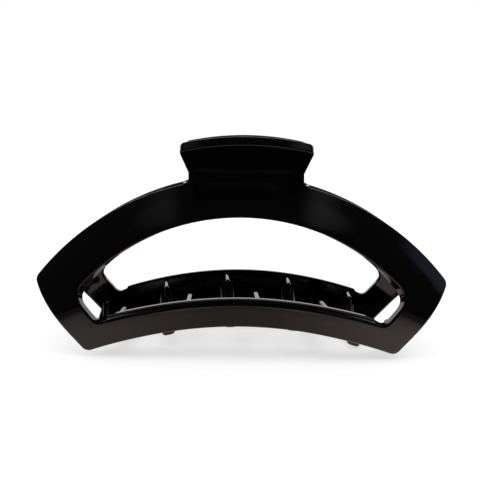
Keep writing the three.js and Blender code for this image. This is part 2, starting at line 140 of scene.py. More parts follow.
# ---- finishing dimensions that only the visual model has ---------------------------------------

FACE_OUTER_FILLET = 0.9
FACE_WINDOW_FILLET = 0.7
BACK_WINDOW_FILLET = 0.5
BACK_OUTER_FILLET = 0.6
HANDLE_FILLET = 0.5
HANDLE_BACK_FILLET = 1.3
HANDLE_CORNER = 1.6
CROWN_SPAN = 0.86             # the share of the top edge that lies between the corners' arcs
SMALL_FILLET = 0.3
NOTCH_RADIUS = 1.5
NOTCH_TURN = 0.6              # share of the arch's slope that a notch turns past a quarter turn
SHOULDER_DEPTH = 3.0          # how far the shoulder runs down inside the arch
SHOULDER_FLARE = 0.5          # how far its lower edge runs past the end of each notch
SHOULDER_FILLET = 0.12
CREASE_COLUMNS = 31
COVE_REACH = 0.83             # the crease's hollow touches both faces this far from the corner
COVE_INSET = 0.06             # from the hollow's ends to the handle's sides
COVE_SINK = 0.9               # how far the hollow's body reaches into the jaw behind the crease
COVE_BACK = 1.2
WEB_SINK = 1.0                # how deep the web starts inside the handle
WEB_FOOT = (-10.6, 2.6)       # y, and distance below the arch, of the web's foot inside the wall
WEB_FILLET = 0.9
STOP_FILLET = 0.4
LEDGE_HALF = 39.5             # the narrow flat ledge behind the lower window edge
LEDGE_DEPTH = 1.5
LEDGE_THICKNESS = 1.2
LEDGE_FILLET = 0.2
APRON_FILLET = 0.7
RAIL_CORNER = 0.5
RAIL_FILLET = 0.25
RIB_ROOT_DROP = 0.7           # the rib starts in the wall's middle, found this far below its ridge
RIB_NOSE_RADIUS = 1.3
RIB_FILLET = 0.72
BORE_SINK = 0.25
MARK_RADIUS = 1.45            # round marks left by the mould's ejector pins
MARK_FILLET = 0.08
MARK_PLACES = ((44.0, 7.8), (1.4, 13.8), (-19.1, 12.6), (-41.6, 6.9))
WIRE_END = ((1.0, 0.0), (0.75, 0.14))   # share of the wire's radius, and distance out past its end
MERGE_DISTANCE = 1e-7         # metres

# ---- meshes from rings of points ---------------------------------------------------------------


def shell(name, rings, looped=False):
    """One closed body through rings of equal length, with a flat cap on each end of an open stack."""
    count = len(rings[0])
    points = [tuple(p) for ring in rings for p in np.asarray(ring) * MM]
    faces = []
    last = len(rings) if looped else len(rings) - 1
    for i in range(last):
        a = i * count
        b = (i + 1) % len(rings) * count
        for j in range(count):
            k = (j + 1) % count
            faces.append((a + j, b + j, b + k, a + k))
    if not looped:
        end = (len(rings) - 1) * count
        faces.append(tuple(range(count)))
        faces.append(tuple(range(end + count - 1, end - 1, -1)))
    mesh = bpy.data.meshes.new(name)
    mesh.from_pydata(points, [], faces)
    bm = bmesh.new()
    bm.from_mesh(mesh)
    bmesh.ops.recalc_face_normals(bm, faces=bm.faces)
    bm.to_mesh(mesh)
    bm.free()
    obj = bpy.data.objects.new(name, mesh)
    bpy.context.scene.collection.objects.link(obj)
    return obj


def inset(outline, distance):
    """A closed 2-D outline moved inward by a distance, whichever way round it runs."""
    before = np.roll(outline, 1, axis=0)
    after = np.roll(outline, -1, axis=0)
    area = np.sum(before[:, 0] * outline[:, 1] - outline[:, 0] * before[:, 1])
    turn = 1 if area > 0 else -1

    def normals(edge):
        unit = edge / np.linalg.norm(edge, axis=1)[:, None]
        return turn * np.stack([-unit[:, 1], unit[:, 0]], axis=1)

    n0, n1 = normals(outline - before), normals(after - outline)
    miter = n0 + n1
    miter /= np.sum(miter * n0, axis=1)[:, None]
    return outline + miter * distance


def rounded_plate(name, outline, thickness, fillet, place, steps=5, back_fillet=None):
    """A plate cut to an outline, with rounded edges. place(points, inward) gives its points in space."""
    outline = np.asarray(outline, float)
    back = back_fillet or fillet
    angles = np.linspace(0, math.pi / 2, steps + 1)
    levels = [(fillet * (1 - math.sin(a)), fillet * (1 - math.cos(a))) for a in angles]
    levels += [(back * (1 - math.sin(a)), thickness - back * (1 - math.cos(a))) for a in angles[::-1]]
    return shell(name, [place(inset(outline, d), b) for d, b in levels])


def round_corner(points, index, radius, steps=6):
    """Replaces one corner of a polygon with an arc that touches both of its edges."""
    p = np.array(points[index], float)
    a = np.array(points[index - 1], float) - p
    b = np.array(points[(index + 1) % len(points)], float) - p
    a /= np.linalg.norm(a)
    b /= np.linalg.norm(b)
    half = math.acos(float(np.clip(a @ b, -1, 1))) / 2
    bisector = (a + b) / np.linalg.norm(a + b)
    centre = p + bisector * radius / math.sin(half)
    start = p + a * radius / math.tan(half) - centre
    end = p + b * radius / math.tan(half) - centre
    sweep = math.pi - 2 * half
    arc = []
    for i in range(steps + 1):
        t = i / steps
        arc.append(centre + (start * math.sin((1 - t) * sweep) + end * math.sin(t * sweep)) / math.sin(sweep))
    return list(points[:index]) + arc + list(points[index + 1:])


def boolean(obj, others, operation):
    """Joins or cuts obj by the others, in place, and removes them."""
    group = bpy.data.collections.new("operands")
    bpy.context.scene.collection.children.link(group)
    for other in others:
        group.objects.link(other)
    modifier = obj.modifiers.new("boolean", "BOOLEAN")
    modifier.operation = operation
    modifier.operand_type = "COLLECTION"
    modifier.collection = group
    modifier.solver = "EXACT"
    graph = bpy.context.evaluated_depsgraph_get()
    mesh = bpy.data.meshes.new_from_object(obj.evaluated_get(graph))
    obj.modifiers.clear()
    obj.data = mesh
    for other in others:
        bpy.data.objects.remove(other)
    bpy.data.collections.remove(group)


def finish_mesh(obj, sharp_degrees=38):
    """Cleans a finished mesh and shades it smooth, with flat areas flat and true edges sharp."""
    bm = bmesh.new()
    bm.from_mesh(obj.data)
    bmesh.ops.remove_doubles(bm, verts=bm.verts, dist=MERGE_DISTANCE)
    bmesh.ops.dissolve_degenerate(bm, edges=bm.edges, dist=MERGE_DISTANCE)
    bm.to_mesh(obj.data)
    bm.free()
    obj.data.shade_smooth()
    obj.data.set_sharp_from_angle(angle=math.radians(sharp_degrees))
    weighted = obj.modifiers.new("weighted_normals", "WEIGHTED_NORMAL")
    weighted.keep_sharp = True
    weighted.weight = 60


# ---- the jaw's curved wall ---------------------------------------------------------------------


def depth_profile(s):
    """Depth of the outer surface against distance in from the arch, smooth through the stations."""
    x, y = DEPTH_STATIONS, DEPTH_VALUES
    index = np.arange(len(x))
    lo, hi = np.maximum(index - 1, 0), np.minimum(index + 1, len(x) - 1)
    slope = (y[hi] - y[lo]) / (x[hi] - x[lo])
    s = np.clip(s, x[0], x[-1])
    k = np.clip(np.searchsorted(x, s) - 1, 0, len(x) - 2)
    span = x[k + 1] - x[k]
    t = (s - x[k]) / span
    h00 = 2 * t**3 - 3 * t**2 + 1
    h10 = t**3 - 2 * t**2 + t
    h01 = 3 * t**2 - 2 * t**3
    h11 = t**3 - t**2
    return h00 * y[k] + h10 * span * slope[k] + h01 * y[k + 1] + h11 * span * slope[k + 1]


def depth(x, z):
    """Depth of the outer surface in front of the hinge's plane, at a place seen from the front."""
    inward = ARCH_RADIUS - np.hypot(x, z - ARCH_CENTRE_Z)
    return depth_profile(inward) - CURL_RATE * np.maximum(0, CURL_START_Z - z) ** 2


def wall_point(x, z, inward=0.0, level=0.0):
    """Points of the front jaw's wall, at a distance in from its outer surface."""
    x, z, inward, level = np.broadcast_arrays(np.asarray(x, float), z, inward, level)
    step = 0.05
    dx = (depth(x + step, z) - depth(x - step, z)) / (2 * step)
    dz = (depth(x, z + step) - depth(x, z - step)) / (2 * step)
    normal = np.stack([-dx, -np.ones_like(dx), -dz * (1 - level)], axis=-1)
    normal /= np.linalg.norm(normal, axis=-1, keepdims=True)
    return np.stack([x, -depth(x, z), z], axis=-1) - normal * inward[..., None]


def arc_z(x, radius, edge):
    """Height of an arc with its middle on x = 0 that passes through the point edge."""
    return edge[1] - math.sqrt(radius**2 - edge[0] ** 2) + np.sqrt(radius**2 - np.square(x))


def smoothstep(value, low, high):
    t = np.clip((value - low) / (high - low), 0, 1)
    return t * t * (3 - 2 * t)


def bezier_corner(start, corner, end, steps):
    t = np.linspace(0, 1, steps + 1)[1:, None]
    start, corner, end = np.array(start), np.array(corner), np.array(end)
    return list((1 - t) ** 2 * start + 2 * t * (1 - t) * corner + t**2 * end)


def jaw_outline(top_radius, top, low_radius, low, top_trim, low_trim):
    """Closed outline from the front. Every outline has the same count of points, in the same order."""
    arc_steps, end_steps, corner_steps = 64, 16, 10
    top, low = np.array(top), np.array(low)
    end = (low - top) / np.linalg.norm(low - top)
    top_x = top[0] - top_trim * math.sqrt(1 - (top[0] / top_radius) ** 2)
    low_x = low[0] - low_trim * math.sqrt(1 - (low[0] / low_radius) ** 2)
    angle = np.linspace(0, math.pi / 4, arc_steps + 1)
    upper = [(x, float(arc_z(x, top_radius, top))) for x in top_x * np.sin(angle) / math.sin(math.pi / 4)]
    end_start, end_stop = top + end * top_trim, low - end * low_trim
    half = list(upper)
    half += bezier_corner(upper[-1], top, end_start, corner_steps)
    half += list(np.linspace(end_start, end_stop, end_steps + 1)[1:])
    half += bezier_corner(end_stop, low, (low_x, float(arc_z(low_x, low_radius, low))), corner_steps)
    half += [(x, float(arc_z(x, low_radius, low))) for x in np.linspace(low_x, 0, arc_steps + 1)[1:]]
    half = np.array(half)
    mirrored = half[1:-1][::-1] * (-1, 1)
    return np.concatenate([half, mirrored])


def rounded_section(length):
    """(along, inward) points round the wall's section, from the window's edge to the outer edge."""
    corner_steps, face_steps, edge_steps = 7, 26, 3

    def corner(along, inward, radius, start):
        angle = start + np.linspace(0, math.pi / 2, corner_steps + 1)
        return np.stack([along + radius * np.cos(angle), inward + radius * np.sin(angle)], axis=1)

    quarter = math.pi / 2
    corners = [
        corner(length - FACE_OUTER_FILLET, FACE_OUTER_FILLET, FACE_OUTER_FILLET, -quarter),
        corner(length - BACK_OUTER_FILLET, WALL - BACK_OUTER_FILLET, BACK_OUTER_FILLET, 0),
        corner(BACK_WINDOW_FILLET, WALL - BACK_WINDOW_FILLET, BACK_WINDOW_FILLET, quarter),
        corner(FACE_WINDOW_FILLET, FACE_WINDOW_FILLET, FACE_WINDOW_FILLET, 2 * quarter),
    ]
    points = []
    for i, steps in enumerate([edge_steps, face_steps, edge_steps, face_steps]):
        points.append(corners[i])
        points.append(np.linspace(corners[i][-1], corners[(i + 1) % 4][0], steps + 1)[1:-1])
    return np.concatenate(points)


def sill_rise(x, z):
    """How much higher the window's edge is on the inside of the wall than on the outside."""
    return SILL_RISE * (1 - smoothstep(abs(x), *SILL_FADE)) if z < WINDOW_TOP[1] else 0.0


def frame_ring():
    """The wide arched wall between the jaw's outer edge and its window, with rounded edges."""
    outer = jaw_outline(ARCH_RADIUS, END_TOP, LOW_EDGE_RADIUS, END_LOW, END_TOP_TRIM, END_LOW_TRIM)
    inner = jaw_outline(WINDOW_TOP_RADIUS, WINDOW_TOP, WINDOW_LOW_RADIUS, WINDOW_LOW,
                        WINDOW_TOP_TRIM, WINDOW_LOW_TRIM)
    samples = np.linspace(0, 1, 41)
    rings = []
    for window, edge in zip(inner, outer):
        line = window + (edge - window) * samples[:, None]
        face = wall_point(line[:, 0], line[:, 1])
        lengths = np.concatenate([[0], np.cumsum(np.linalg.norm(np.diff(face, axis=0), axis=1))])
        section = rounded_section(lengths[-1])
        t = np.interp(section[:, 0], lengths, samples)
        spot = window + (edge - window) * t[:, None]
        level = (1 - t) * smoothstep(window[1], SQUARE_EDGE_Z - SQUARE_EDGE_FADE, SQUARE_EDGE_Z)
        ring = wall_point(spot[:, 0], spot[:, 1], section[:, 1], level)
        ring[:, 2] += sill_rise(*window) * (1 - t) ** 2 * section[:, 1] / WALL
        rings.append(ring)
    return shell("frame", rings, looped=True)


def apron():
    """A sloping shelf along the inside of the lower bar, between the teeth."""
    columns = 90
    rings = []
    for i in range(columns + 1):
        x = APRON_HALF * (-1 + 2 * i / columns)
        top = float(arc_z(x, LOW_EDGE_RADIUS, END_LOW)) + APRON_TOP
        wall_y = float(wall_point(x, top, WALL / 2)[1])
        edge_y = wall_y + WALL / 2 + APRON_REACH
        low = top - APRON_FALL
        section = [(wall_y, top), (edge_y, low),
                   (edge_y, low - APRON_THICKNESS), (wall_y, top - APRON_THICKNESS)]
        section = round_corner(section, 2, APRON_FILLET)
        section = round_corner(section, 1, APRON_FILLET)
        rings.append([(x, y, z) for y, z in section])
    return shell("apron", rings)


def sill_ledge():
    """A narrow level ledge along the inner edge of the lower bar's sill."""
    columns = 80
    rings = []
    for i in range(columns + 1):
        x = LEDGE_HALF * (-1 + 2 * i / columns)
        window_z = float(arc_z(x, WINDOW_LOW_RADIUS, WINDOW_LOW))
        _, back_y, edge_z = wall_point(x, window_z, WALL)
        top = edge_z + sill_rise(x, window_z)
        front_y, low = back_y - LEDGE_DEPTH, top - LEDGE_THICKNESS
        section = [(front_y, top), (back_y, top), (back_y, low), (front_y, low)]
        section = round_corner(section, 1, LEDGE_FILLET)
        rings.append([(x, y, z) for y, z in section])
    return shell("ledge", rings)


def ejector_mark(x, z):
    """A low round boss on the wall's inner face."""
    sunk, thickness = 0.2, 0.34
    centre = wall_point(x, z, WALL)
    inward = wall_point(x, z, WALL + 1) - centre
    across = np.cross(inward, (0, 0, 1.0))
    across /= np.linalg.norm(across)
    up = np.cross(across, inward)
    angle = np.linspace(0, 2 * math.pi, 36, endpoint=False)
    outline = MARK_RADIUS * np.stack([np.cos(angle), np.sin(angle)], axis=1)

    def place(points, level):
        flat = np.outer(points[:, 0], across) + np.outer(points[:, 1], up)
        return centre + flat + inward * (thickness - sunk - level)

    return rounded_plate("mark", outline, thickness, MARK_FILLET, place, steps=2)


# ---- handle ------------------------------------------------------------------------------------


def handle_point(across, up, inward):
    """Points of the leaning handle, from distances across it, up it and in from its face."""
    s, c = math.sin(HANDLE_LEAN), math.cos(HANDLE_LEAN)
    across, up, inward = np.broadcast_arrays(np.asarray(across, float), up, inward)
    return np.stack([across, CREASE_Y - up * s + inward * c, CREASE_Z + up * c + inward * s], axis=-1)


def handle_half_width(up):
    return HANDLE_ROOT_HALF + (HANDLE_TOP_HALF - HANDLE_ROOT_HALF) * max(up, 0) / HANDLE_LENGTH


def handle_outline():
    """The handle's face: straight flared sides, a crowned top edge and rounded top corners."""
    root_up = -2.2
    crown_steps = 36
    side_up = HANDLE_LENGTH - HANDLE_CROWN
    points = [(-HANDLE_ROOT_HALF, root_up), (HANDLE_ROOT_HALF, root_up), (HANDLE_ROOT_HALF, 0)]
    points.append((handle_half_width(side_up), side_up))
    for u in np.linspace(CROWN_SPAN, -CROWN_SPAN, crown_steps):
        points.append((u * handle_half_width(side_up), HANDLE_LENGTH - HANDLE_CROWN * u * u))
    points.append((-handle_half_width(side_up), side_up))
    points.append((-HANDLE_ROOT_HALF, 0))
    left_top = len(points) - 2
    points = round_corner(points, left_top, HANDLE_CORNER)
    return round_corner(points, 3, HANDLE_CORNER)


def handle_plate():
    def place(points, inward):
        return handle_point(points[:, 0], points[:, 1], inward)

    return rounded_plate("handle", handle_outline(), HANDLE_WALL, HANDLE_FILLET, place, 7, HANDLE_BACK_FILLET)


def shoulder(shift):
    """The block under the crease, which runs into the arch with a small hollow at each end."""
    steps, under_points = 8, 24
    sides = []
    for side in (1, -1):
        edge_x = side * (HANDLE_ROOT_HALF + NOTCH_RADIUS)
        edge_z = float(arc_z(edge_x + shift, ARCH_RADIUS, END_TOP)) + NOTCH_RADIUS
        slope = math.asin(abs(edge_x + shift) / ARCH_RADIUS)
        angles = (math.pi / 2 + slope * NOTCH_TURN) * np.arange(steps + 1) / steps
        sides.append([(edge_x - side * NOTCH_RADIUS * math.cos(a), edge_z - NOTCH_RADIUS * math.sin(a))
                      for a in angles])
    right, left = sides
    points = [(-HANDLE_ROOT_HALF, CREASE_Z), (HANDLE_ROOT_HALF, CREASE_Z)] + right
    under = np.linspace(right[-1][0] + SHOULDER_FLARE, left[-1][0] - SHOULDER_FLARE, under_points)
    points += [(x, float(arc_z(x + shift, ARCH_RADIUS, END_TOP)) - SHOULDER_DEPTH) for x in under]
    points += left[::-1]

    def place(outline, inward):
        return np.stack([outline[:, 0], np.full(len(outline), CREASE_Y + inward), outline[:, 1]], axis=1)

    return rounded_plate("shoulder", points, WEB_TOP[0] - CREASE_Y, SHOULDER_FILLET, place, steps=3)


def crease_columns(half):
    """Places across the handle's root, from side to side."""
    return np.linspace(-half, half, CREASE_COLUMNS)


def crease_cove():
    """The small rounded hollow of the crease, between the handle's face and the shoulder."""
    rings = []
    t = np.linspace(0, 1, 9)[:, None]
    for x in crease_columns(HANDLE_ROOT_HALF - COVE_INSET):
        corner = np.array([x, CREASE_Y, CREASE_Z])
        top = handle_point(x, COVE_REACH, 0)
        low = corner - (0, 0, COVE_REACH)
        curve = (1 - t) ** 2 * top + 2 * t * (1 - t) * corner + t * t * low
        inside = [(x, CREASE_Y + COVE_SINK, CREASE_Z - COVE_SINK), (x, CREASE_Y + COVE_BACK, CREASE_Z)]
        rings.append(np.concatenate([curve, inside]))
    return shell("cove", rings)


def inner_web(shift):
    """The material under the handle's inner face, with the ridge that meets the other jaw's ridge."""
    rings = []
    for x in crease_columns(HANDLE_ROOT_HALF):
        arch_z = float(arc_z(x + shift, ARCH_RADIUS, END_TOP))
        deep = handle_point(0, HANDLE_INNER_ROOT, HANDLE_WALL - WEB_SINK)
        section = [
            (deep[1], deep[2]),
            WEB_TOP,
            (-CLEARANCE / 2, STOP_TOP_Z),
            (-CLEARANCE / 2, STOP_TOP_Z - STOP_HEIGHT),
            (WEB_LOW[0], arch_z - WEB_LOW[1]),
            (WEB_FOOT[0], arch_z - WEB_FOOT[1]),
        ]
        section = round_corner(section, 3, STOP_FILLET)
        section = round_corner(section, 2, STOP_FILLET)
        section = round_corner(section, 1, WEB_FILLET)
        rings.append([(x, y, z) for y, z in section])
    return shell("web", rings)


def across_x(start_x):
    """Places a (y, z) outline so that its thickness runs along X."""
    def place(points, inward):
        return np.stack([np.full(len(points), start_x + inward), points[:, 0], points[:, 1]], axis=1)
    return place


def knuckle(middle_x):
    """A knuckle round the pin, with a web back to its own handle."""
    arc_steps = 28
    points = [(y, AXIS_Z + up) for y, up in KNUCKLE_ROOT]
    for i in range(arc_steps + 1):
        a = math.pi * (KNUCKLE_ARC_START - KNUCKLE_ARC_SWEEP * i / arc_steps)
        points.append((KNUCKLE_RADIUS * math.cos(a), AXIS_Z + KNUCKLE_RADIUS * math.sin(a)))
    points += [(y, AXIS_Z + up) for y, up in KNUCKLE_FOOT]
    place = across_x(middle_x - KNUCKLE_LENGTH / 2)
    return rounded_plate("knuckle", points, KNUCKLE_LENGTH, SMALL_FILLET, place, steps=3)


def bore(middle_x):
    """The hole through a knuckle, with a small countersink at each end."""
    half, beyond, segments = KNUCKLE_LENGTH / 2, 1, 40
    mouth = BORE_RADIUS + BORE_SINK + beyond
    stations = [(-half - beyond, mouth), (-half + BORE_SINK, BORE_RADIUS),
                (half - BORE_SINK, BORE_RADIUS), (half + beyond, mouth)]
    return lathe("bore", [(r, x + middle_x) for x, r in stations], segments)


def lathe(name, profile, segments):
    """A closed body turned about the hinge axis, through (radius, x) stations."""
    angles = np.linspace(0, 2 * math.pi, segments, endpoint=False)
    rings = []
    for radius, x in profile:
        rings.append(np.stack([np.full(segments, x), radius * np.cos(angles),
                               AXIS_Z + radius * np.sin(angles)], axis=1))
    return shell(name, rings)


def leg_rails():
    """Two low rails on the handle's inner face that hold the spring's leg."""
    end = RAIL_START + RAIL_LENGTH
    sunk, top = HANDLE_WALL - RAIL_SINK, HANDLE_WALL + RAIL_HEIGHT
    rails = []
    for side in (-1, 1):
        x = LEG_X + side * RAIL_SPREAD - RAIL_WIDTH / 2
        outline = [(RAIL_START, sunk), (RAIL_START, top), (end, top), (end, sunk)]
        outline = round_corner(outline, 2, RAIL_CORNER)
        outline = round_corner(outline, 1, RAIL_CORNER)

        def place(points, inward, x=x):
            return handle_point(x + inward, points[:, 0], points[:, 1])

        rails.append(rounded_plate("rail", outline, RAIL_WIDTH, RAIL_FILLET, place, steps=3))
    return rails


# ---- teeth -------------------------------------------------------------------------------------


def tooth_places():
    """Where the teeth stand along X. The last one stands in the jaw's corner."""
    first = -(TOOTH_COUNT - 1) / 2
    return [min(TOOTH_OFFSET + TOOTH_PITCH * (first + i), CORNER_TOOTH_X) for i in range(TOOTH_COUNT)]


def tooth_line(x):
    """Control points of a tooth's middle line, from inside the bar's wall to the tip."""
    edge_z = float(arc_z(x, LOW_EDGE_RADIUS, END_LOW))
    root = wall_point(x, edge_z + TOOTH_ROOT_RISE, WALL * 0.5)
    tip_z = max(edge_z - TOOTH_DROP, 0) + TOOTH_TIP_SIZE[1] / 2
    tip_x = x * (1 - TOOTH_FAN) - TOOTH_LEAN if abs(x) < CORNER_TOOTH_X else x
    drop = root[2] - tip_z
    root_run, root_y, root_fall = TOOTH_BEND_ROOT
    tip_run, tip_y, tip_fall = TOOTH_BEND_TIP
    return np.array([
        root,
        (x + (tip_x - x) * root_run, root_y, root[2] - drop * root_fall),
        (x + (tip_x - x) * tip_run, tip_y, tip_z + drop * tip_fall),
        (tip_x, TOOTH_REACH, tip_z),
    ])


def cubic(control, t):
    a, b, c, d = control
    return (1 - t) ** 3 * a + 3 * t * (1 - t) ** 2 * b + 3 * t * t * (1 - t) * c + t**3 * d


def cubic_tangent(control, t):
    a, b, c, d = control
    tangent = 3 * (1 - t) ** 2 * (b - a) + 6 * t * (1 - t) * (c - b) + 3 * t * t * (d - c)
    return tangent / np.linalg.norm(tangent)


def tooth(x):
    """A curved tooth with a rounded-rectangle section and a rounded, slightly flattened tip."""
    control = tooth_line(x)
    slope = -x / math.sqrt(LOW_EDGE_RADIUS**2 - x * x) if x < CORNER_TOOTH_X else 0.0
    sideways = np.array([1, 0, slope]) / math.hypot(1, slope)
    sides = 28
    angle = np.linspace(0, 2 * math.pi, sides, endpoint=False)
    square = 0.55                 # 1 would give an ellipse, and less is squarer
    across = np.sign(np.cos(angle)) * np.abs(np.cos(angle)) ** square
    up = np.sign(np.sin(angle)) * np.abs(np.sin(angle)) ** square
    tip_start, blunt, round_share = 0.93, 0.45, 0.55
    rings = []
    for t in list(np.linspace(0, tip_start, 22)) + [0.955, 0.975, 0.988, 0.996, 1.0]:
        point = cubic(control, t)
        rise = np.cross(sideways, cubic_tangent(control, t))
        rise /= np.linalg.norm(rise)
        close = max(0.0, (t - tip_start) / (1 - tip_start))
        end = blunt + round_share * math.sqrt(1 - close * close)
        width = (TOOTH_ROOT_SIZE[0] + (TOOTH_TIP_SIZE[0] - TOOTH_ROOT_SIZE[0]) * t) * end
        height = (TOOTH_ROOT_SIZE[1] + (TOOTH_TIP_SIZE[1] - TOOTH_ROOT_SIZE[1]) * math.sqrt(t)) * end
        rings.append(point + np.outer(across * width / 2, sideways) + np.outer(up * height / 2, rise))
    return shell("tooth", rings)


def rib(x):
    """A thin rib on a tooth, level with the window's lower edge, ending in a rounded nose."""
    ridge_z = float(arc_z(x, WINDOW_LOW_RADIUS, WINDOW_LOW)) + RIB_LIFT
    start_y = float(wall_point(x, ridge_z - RIB_ROOT_DROP, WALL * 0.5)[1])
    foot = cubic(tooth_line(x), RIB_FOOT)
    foot_y = max(foot[1], RIB_END_Y + RIB_FOOT_RUN)
    outline = [(start_y, ridge_z - RIB_DEPTH), (start_y, ridge_z), (RIB_END_Y, ridge_z), (foot_y, foot[2])]
    outline = round_corner(outline, 2, RIB_NOSE_RADIUS, steps=8)
    drift = (foot[0] - x) / (foot_y - start_y)

    def place(points, inward):
        shift = drift * (points[:, 0] - start_y)
        return np.stack([x + shift + inward - RIB_WIDTH / 2, points[:, 0], points[:, 1]], axis=1)

    return rounded_plate("rib", outline, RIB_WIDTH, RIB_FILLET, place, steps=6)


# ---- whole jaw ---------------------------------------------------------------------------------


def jaw_frame():
    """What both jaws have in common: the arched wall, the apron, the teeth and the mould's marks."""
    parts = [apron(), sill_ledge()] + [ejector_mark(*place) for place in MARK_PLACES]
    for x in tooth_places():
        parts += [tooth(x), rib(x)]
    frame_body = frame_ring()
    boolean(frame_body, parts, "UNION")
    return frame_body


def add_handle(jaw, shift):
    """Joins the handle, its knuckles and the rails to a jaw, with the handle's middle at x = shift."""
    parts = [handle_plate(), shoulder(shift), crease_cove(), inner_web(shift)]
    for part in parts:
        for vertex in part.data.vertices:
            vertex.co.x += shift * MM
    places = (KNUCKLE_OUTER_X, KNUCKLE_INNER_X)
    boolean(jaw, parts + leg_rails() + [knuckle(x) for x in places], "UNION")
    boolean(jaw, [bore(x) for x in places], "DIFFERENCE")


# ---- pin and spring ----------------------------------------------------------------------------


def pin():
    """The hinge pin, with a domed head at one end and a flattened rivet at the other."""
    reach = KNUCKLE_OUTER_X + KNUCKLE_LENGTH / 2 + CLEARANCE
    end = reach + PIN_HEAD_LENGTH
    swell, swell_from, swell_to = 0.08, 0.04, 0.14      # the shank widens a little below each head
    edge, dish = 0.15, 0.2                              # the rivet's rounded edge and its hollow face
    head = [(PIN_HEAD_RADIUS * math.sin(a), -reach - PIN_HEAD_LENGTH * math.cos(a))
            for a in np.linspace(0.06, math.pi / 2, 9)]
    shank = [(PIN_HEAD_RADIUS - 0.12, -reach + 0.02), (PIN_RADIUS + swell, -reach + swell_from),
             (PIN_RADIUS, -reach + swell_to), (PIN_RADIUS, reach - swell_to),
             (PIN_RADIUS + swell, reach - swell_from)]
    rivet = [(PIN_HEAD_RADIUS - edge, reach), (PIN_HEAD_RADIUS, reach + edge),
             (PIN_HEAD_RADIUS, end - 0.45), (PIN_HEAD_RADIUS - edge, end - 0.2),
             (PIN_HEAD_RADIUS * 0.7, end - 0.02), (PIN_HEAD_RADIUS * 0.5, end),
             (PIN_HEAD_RADIUS * 0.35, end - edge), (PIN_HEAD_RADIUS * 0.1, end - dish)]
    return lathe("pin", head + shank + rivet, 48)


def spring_points():
    """The wire's middle line: front leg, coil, rear leg."""
    c = math.sqrt(0.5)
    leg_distance = COIL_RADIUS + LEG_GAP

    def leg(side, up, x):
        return (x, side * (-c * leg_distance - c * up), AXIS_Z - c * leg_distance + c * up)

    leg_steps = 10
    stations = [LEG_START + (LEG_LENGTH - LEG_START) * i / leg_steps for i in range(1, leg_steps + 1)]
    points = [leg(1, up, LEG_X) for up in reversed(stations)]
    total = math.pi * 2 * COIL_TURNS + math.pi / 2
    steps_per_turn = 32
    steps = COIL_TURNS * steps_per_turn
    for i in range(steps + 1):
        a = math.pi * 1.25 + total * i / steps
        points.append((LEG_X - 2 * LEG_X * i / steps, math.cos(a) * COIL_RADIUS,
                       AXIS_Z + math.sin(a) * COIL_RADIUS))
    points += [leg(-1, up, -LEG_X) for up in stations]
    return np.array(points)


def spring():
    """Round wire along its middle line, with rounded ends."""
    points = spring_points()
    sides = 16
    angle = np.linspace(0, 2 * math.pi, sides, endpoint=False)
    tangents = np.gradient(points, axis=0)
    tangents /= np.linalg.norm(tangents, axis=1)[:, None]
    normal = np.array([1.0, 0, 0])
    rings = []
    last = len(points) - 1
    for i, (point, tangent) in enumerate(zip(points, tangents)):
        normal = normal - tangent * (normal @ tangent)
        normal /= np.linalg.norm(normal)
        side = np.cross(tangent, normal)
        ring = np.outer(np.cos(angle), normal) + np.outer(np.sin(angle), side)
        if i in (0, last):
            direction = -1 if i == 0 else 1
            for radius, out in sorted(WIRE_END, reverse=direction > 0):
                rings.append(point + tangent * direction * out + ring * WIRE_RADIUS * radius)
        else:
            rings.append(point + ring * WIRE_RADIUS)
    return shell("spring", rings)


# ---- materials ---------------------------------------------------------------------------------


class Nodes:
    """Short calls for building a material's node tree."""

    def __init__(self, name):
        self.material = bpy.data.materials.new(name)
        self.material.use_nodes = True
        self.tree = self.material.node_tree
        self.shader = self.tree.nodes["Principled BSDF"]
        self.coordinates = self.tree.nodes.new("ShaderNodeTexCoord").outputs["Object"]

    def link(self, source, target):
        self.tree.links.new(source, target)

    def stretched(self, scale):
        node = self.tree.nodes.new("ShaderNodeMapping")
        node.inputs["Scale"].default_value = scale
        self.link(self.coordinates, node.inputs["Vector"])
        return node.outputs["Vector"]

    def noise(self, scale, detail=3.0, roughness=0.5, vector=None):
        node = self.tree.nodes.new("ShaderNodeTexNoise")
        node.inputs["Scale"].default_value = scale
        node.inputs["Detail"].default_value = detail
        node.inputs["Roughness"].default_value = roughness
        self.link(vector or self.coordinates, node.inputs["Vector"])
        return node.outputs["Fac"]

    def cells(self, scale):
        node = self.tree.nodes.new("ShaderNodeTexVoronoi")
        node.inputs["Scale"].default_value = scale
        self.link(self.coordinates, node.inputs["Vector"])
        return node.outputs["Distance"]

    def ramp(self, value, low, high, start=0.0, end=1.0):
        node = self.tree.nodes.new("ShaderNodeMapRange")
        node.inputs["From Min"].default_value = low
        node.inputs["From Max"].default_value = high
        node.inputs["To Min"].default_value = start
        node.inputs["To Max"].default_value = end
        self.link(value, node.inputs["Value"])
        return node.outputs["Result"]

    def mix(self, factor, first, second):
        node = self.tree.nodes.new("ShaderNodeMix")
        node.data_type = "RGBA"
        node.inputs["A"].default_value = (*first, 1)
        node.inputs["B"].default_value = (*second, 1)
        self.link(factor, node.inputs["Factor"])
        return node.outputs["Result"]

    def maths(self, operation, *values):
        node = self.tree.nodes.new("ShaderNodeMath")
        node.operation = operation
        for i, value in enumerate(values):
            self.link(value, node.inputs[i])
        return node.outputs["Value"]

    def bump(self, height, distance, strength, under=None):
        node = self.tree.nodes.new("ShaderNodeBump")
        node.inputs["Distance"].default_value = distance
        node.inputs["Strength"].default_value = strength
        self.link(height, node.inputs["Height"])
        if under is not None:
            self.link(under, node.inputs["Normal"])
        return node.outputs["Normal"]


